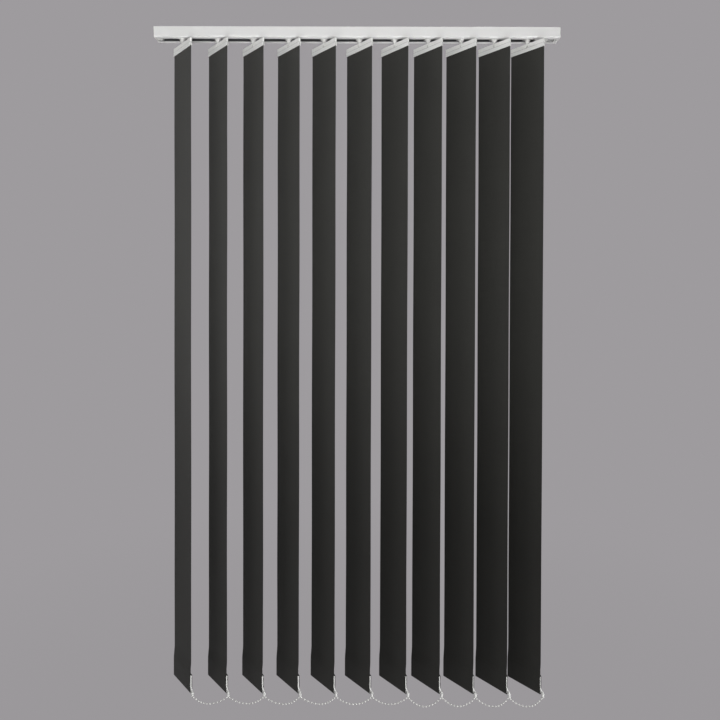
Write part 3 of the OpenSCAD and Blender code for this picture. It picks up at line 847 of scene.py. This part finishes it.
def thread_material(vane):
    """Twisted sewing thread: dark, with a diagonal twist on Object coordinates and shade painted into its
    grooves.
    """
    material, tree, shader = new_material("sewing_thread")
    place = add_node(tree, "ShaderNodeTexCoord").outputs["Object"]
    twist = add_node(tree, "ShaderNodeTexWave", {
        "Vector": place, "Scale": 900.0, "Distortion": 1.5, "Detail": 1.0}, bands_direction="DIAGONAL")
    # Tone by the twist: painted shade in the grooves between plies and painted light on their crowns
    tone = math_node(tree, "MULTIPLY_ADD", twist.outputs["Fac"], *TWIST_SHADING)
    tree.links.new(scaled(tree, tuple(vane.thread), tone), shader.inputs["Base Color"])
    bump = add_node(tree, "ShaderNodeBump", {
        "Height": twist.outputs["Fac"], "Strength": 0.5, "Distance": 0.0001})
    tree.links.new(bump.outputs["Normal"], shader.inputs["Normal"])
    shader.inputs["Roughness"].default_value = 0.6
    return material


class BLIND_OT_hang_vanes(Operator):
    """Hangs a strip of cloth with a sewn pocket from every hanger"""

    bl_idname = "blind.hang_vanes"
    bl_label = "Hang the vanes"

    def execute(self, context):
        vane = context.scene.blind_vanes
        material = cloth_material(vane)
        for i, n in enumerate(NUMBERS):
            points, quads, cloth_map, length = vane_shape(vane, i)
            points = at_vane(points, vane.angle, PIVOT_X[i])
            piece = add_piece(
                f"cloth_{n}", points, quads, material, f"vane_{n}", cloth_map=cloth_map)
            piece.data.set_sharp_from_angle(angle=CLOTH_BREAK)
            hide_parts(f"vane_{n}")
        return {"FINISHED"}


class BLIND_OT_sew_hems(Operator):
    """Sews a row of stitches on both faces of every hem"""

    bl_idname = "blind.sew_hems"
    bl_label = "Sew the hems"

    def execute(self, context):
        vane = context.scene.blind_vanes
        material = thread_material(vane)
        points, quads = hem_shape(vane)
        for i, n in enumerate(NUMBERS):
            sewn = at_vane(points, vane.angle, PIVOT_X[i])
            add_piece(f"hem_{n}", sewn, quads, material, f"vane_{n}")
        return {"FINISHED"}


class BLIND_OT_string_chain(Operator):
    """Strings a length of bead chain between every two neighbouring vanes"""

    bl_idname = "blind.string_chain"
    bl_label = "String the chain"

    def execute(self, context):
        chain = context.scene.blind_chain
        material = skinned_material(
            "chain_plastic", chain.plastic, roughness=0.38, grain=1800.0, grain_depth=0.00004, dust=0.0,
            patches=[(thread_mask_node, chain, chain.nylon)])
        for k in range(len(NUMBERS) - 1):
            points, quads, thread_mask = span_shape(chain, k)
            piece = add_piece(
                f"chain_{NUMBERS[k]}", points, quads, material, "chain",
                thread_mask=thread_mask)
            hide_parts("bottom_chain")
            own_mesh(piece)
        return {"FINISHED"}


class BLIND_OT_set_clips(Operator):
    """Snaps a clip of the chain over the peg of every weight"""

    bl_idname = "blind.set_clips"
    bl_label = "Set the clips"

    def execute(self, context):
        chain = context.scene.blind_chain
        points, quads = clip_shape(chain)
        for i, n in enumerate(NUMBERS):
            place = np.array([CLIP_X[i], CLIP[1], CLIP[2]])
            piece = add_piece(
                f"clip_{n}", points + place, quads, bpy.data.materials["chain_plastic"],
                f"vane_{n}")
            piece.data.set_sharp_from_angle(angle=CLIP_BREAK)
            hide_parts("bottom_chain")
        return {"FINISHED"}


class BLIND_OT_finish_parts(Operator):
    """Gives the rail, brackets and moulded parts their finishes, with shade painted into hollows and steps
    """

    bl_idname = "blind.finish_parts"
    bl_label = "Finish the rail and fittings"

    def execute(self, context):
        finish = context.scene.blind_finish
        finishes = {
            # Powder coat, with painted shade inside the track
            "headrail": skinned_material(
                "powder_coat", finish.rail, roughness=0.36, grain=750.0, grain_depth=0.00006, drift=0.03,
                patches=[(track_shade_mask_node, finish, finish.track)]),
            # Cap plastic, with painted shade in the control cap's recess and outlets
            "end_caps": skinned_material(
                "cap_plastic", finish.cap, **MOULDED,
                patches=[(recess_shade_mask_node, finish, finish.recess),
                         (outlet_shade_mask_node, finish, finish.outlet_shade)]),
            "carrier": skinned_material("carrier_plastic", finish.carrier, **MOULDED),
            # Hanger plastic, with a painted line of shade along each hanger's step
            "hanger": skinned_material(
                "hanger_plastic", finish.hanger, **MOULDED,
                patches=[(step_shade_mask_node, finish, finish.step_shade)]),
            "hook": skinned_material(
                "hook_plastic", finish.hook, roughness=0.34, grain=2200.0, grain_depth=0.00002),
            "weight": skinned_material(
                "weight_plastic", finish.weight, roughness=0.40, grain=1600.0, grain_depth=0.00004),
            "top_brackets": skinned_material(
                "zinc_steel", finish.steel, roughness=0.42, grain=260.0, grain_depth=0.00003, drift=0.16,
                dust=0.1, metal=1.0),
            "tilt_rod": skinned_material(
                "drawn_rod", finish.rod, roughness=0.32, grain=60.0, grain_depth=0.00003, drift=0.1,
                dust=0.1, metal=1.0, stretch=(0.5, 30, 30)),
        }
        for name, node in frame["nodes"].items():
            kind = name if name in finishes else name.rsplit("_", 1)[0]
            if kind in finishes:
                node.data.materials.clear()
                node.data.materials.append(finishes[kind])
        return {"FINISHED"}


def add_lamp(name, power, size, place, target, spread):
    """A soft rectangular lamp that looks at a point, spread in degrees, unseen by the camera."""
    lamp = bpy.data.lights.new(name, "AREA")
    lamp.shape = "RECTANGLE"
    lamp.size, lamp.size_y = size
    lamp.energy = power
    lamp.spread = math.radians(spread)
    thing = bpy.data.objects.new(name, lamp)
    bpy.context.scene.collection.objects.link(thing)
    way = np.array(target) - np.array(place)
    turn = math.atan2(-way[0], way[1])
    tilt = math.atan2(way[2], math.hypot(way[0], way[1]))
    thing.matrix_world = (Matrix.Translation(place) @ Matrix.Rotation(turn, 4, "Z")
                          @ Matrix.Rotation(math.pi / 2 + tilt, 4, "X"))
    thing.visible_camera = False


def seen_rays(tree):
    """1 for rays from the camera, off gloss or through glass, else 0."""
    rays = add_node(tree, "ShaderNodeLightPath")
    seen = math_node(tree, "MAXIMUM", rays.outputs["Is Camera Ray"], rays.outputs["Is Glossy Ray"])
    return math_node(tree, "MAXIMUM", seen, rays.outputs["Is Transmission Ray"])


def lay_floor(scene, stage, backdrop):
    """A square floor that keeps the blind's shadow and takes on the backdrop's brightness away from it."""
    corner = np.array([[-1, -1, 0], [1, -1, 0], [1, 1, 0], [-1, 1, 0]]) * FLOOR_REACH
    corner[:, 2] = stage.floor_z
    mesh = bpy.data.meshes.new("floor")
    mesh.from_pydata(corner, [], [(0, 1, 2, 3)])
    material, tree, shader = new_material("floor_paint")
    shader.inputs["Base Color"].default_value = backdrop
    shader.inputs["Roughness"].default_value = 0.9
    shader.inputs["Specular IOR Level"].default_value = 0.1
    place = add_node(tree, "ShaderNodeTexCoord").outputs["Object"]
    flat = add_node(tree, "ShaderNodeVectorMath", {0: place, 1: (1, 1, 0)}, operation="MULTIPLY")
    radius = add_node(tree, "ShaderNodeVectorMath", {0: flat.outputs[0]}, operation="LENGTH")
    far = eased(tree, radius.outputs["Value"], *FLOOR_FADE, least=stage.floor_glow)
    glow = add_node(tree, "ShaderNodeEmission", {"Color": backdrop})
    share = math_node(tree, "MULTIPLY", far, seen_rays(tree))
    blend = add_node(tree, "ShaderNodeMixShader", {0: share, 1: shader.outputs[0], 2: glow.outputs[0]})
    tree.links.new(blend.outputs[0], tree.nodes["Material Output"].inputs["Surface"])
    mesh.materials.append(material)
    floor = bpy.data.objects.new("floor", mesh)
    scene.collection.objects.link(floor)


def light_studio(scene, stage, backdrop):
    """Even light with the backdrop's colour where it is seen, and the lamps."""
    world = bpy.data.worlds.new("studio")
    world.use_nodes = True
    scene.world = world
    tree = world.node_tree
    even = tree.nodes["Background"]
    even.inputs["Color"].default_value = (1, 1, 1, 1)
    even.inputs["Strength"].default_value = stage.sky
    wall = add_node(tree, "ShaderNodeBackground", {"Color": backdrop, "Strength": 1.0})
    blend = add_node(tree, "ShaderNodeMixShader", {
        0: seen_rays(tree), 1: even.outputs[0], 2: wall.outputs[0]})
    tree.links.new(blend.outputs[0], tree.nodes["World Output"].inputs["Surface"])
    for name, lamp in LAMPS.items():
        add_lamp(f"{name}_lamp", getattr(stage, name), *lamp)


def place_camera(scene, stage):
    """The camera: level, then turned by yaw about Z, pitch about X and roll about its own axis."""
    lens = bpy.data.cameras.new("camera")
    lens.lens = stage.lens
    lens.shift_x, lens.shift_y = stage.shift
    camera = bpy.data.objects.new("camera", lens)
    scene.collection.objects.link(camera)
    camera.matrix_world = (Matrix.Translation(stage.camera) @ Matrix.Rotation(stage.yaw, 4, "Z")
                           @ Matrix.Rotation(math.pi / 2 + stage.pitch, 4, "X")
                           @ Matrix.Rotation(-stage.roll, 4, "Z"))
    scene.camera = camera


class BLIND_OT_set_stage(Operator):
    """Lays a plain floor, sets soft light and places the camera"""

    bl_idname = "blind.set_stage"
    bl_label = "Set the stage"

    def execute(self, context):
        stage = context.scene.blind_stage
        backdrop = (*stage.backdrop, 1)
        lay_floor(context.scene, stage, backdrop)
        light_studio(context.scene, stage, backdrop)
        place_camera(context.scene, stage)
        context.scene.view_settings.view_transform = "Standard"
        return {"FINISHED"}


OPERATORS = (
    BLIND_OT_set_stage,
    BLIND_OT_hang_vanes,
    BLIND_OT_sew_hems,
    BLIND_OT_string_chain,
    BLIND_OT_set_clips,
    BLIND_OT_finish_parts,
)


class BLIND_PT_build(Panel):
    """Lists the steps that dress the blind"""

    bl_label = "Vertical blind"
    bl_idname = "BLIND_PT_build"
    bl_space_type = "VIEW_3D"
    bl_region_type = "UI"
    bl_category = "Blind"

    def draw(self, context):
        for step in OPERATORS:
            self.layout.operator(step.bl_idname)
        for settings in SETTINGS:
            group = getattr(context.scene, settings)
            box = self.layout.box()
            for label in group.bl_rna.properties.keys():
                if label not in ("rna_type", "name"):
                    box.prop(group, label)


SETTINGS = {
    "blind_vanes": VaneSettings,
    "blind_chain": ChainSettings,
    "blind_finish": FinishSettings,
    "blind_stage": StageSettings,
}


def register():
    """Registers the settings, the operators and the panel."""
    for kind in (*SETTINGS.values(), *OPERATORS, BLIND_PT_build):
        bpy.utils.register_class(kind)
    for name, kind in SETTINGS.items():
        setattr(bpy.types.Scene, name, PointerProperty(type=kind))


def unregister():
    """Takes back what register did, in reverse."""
    for name in SETTINGS:
        delattr(bpy.types.Scene, name)
    for kind in reversed((*SETTINGS.values(), *OPERATORS, BLIND_PT_build)):
        bpy.utils.unregister_class(kind)


def main():
    """Builds the scene step by step."""
    register()
    bpy.ops.blind.set_stage()
    bpy.ops.blind.hang_vanes()
    bpy.ops.blind.sew_hems()
    bpy.ops.blind.string_chain()
    bpy.ops.blind.set_clips()
    bpy.ops.blind.finish_parts()


if __name__ == "__main__":
    main()
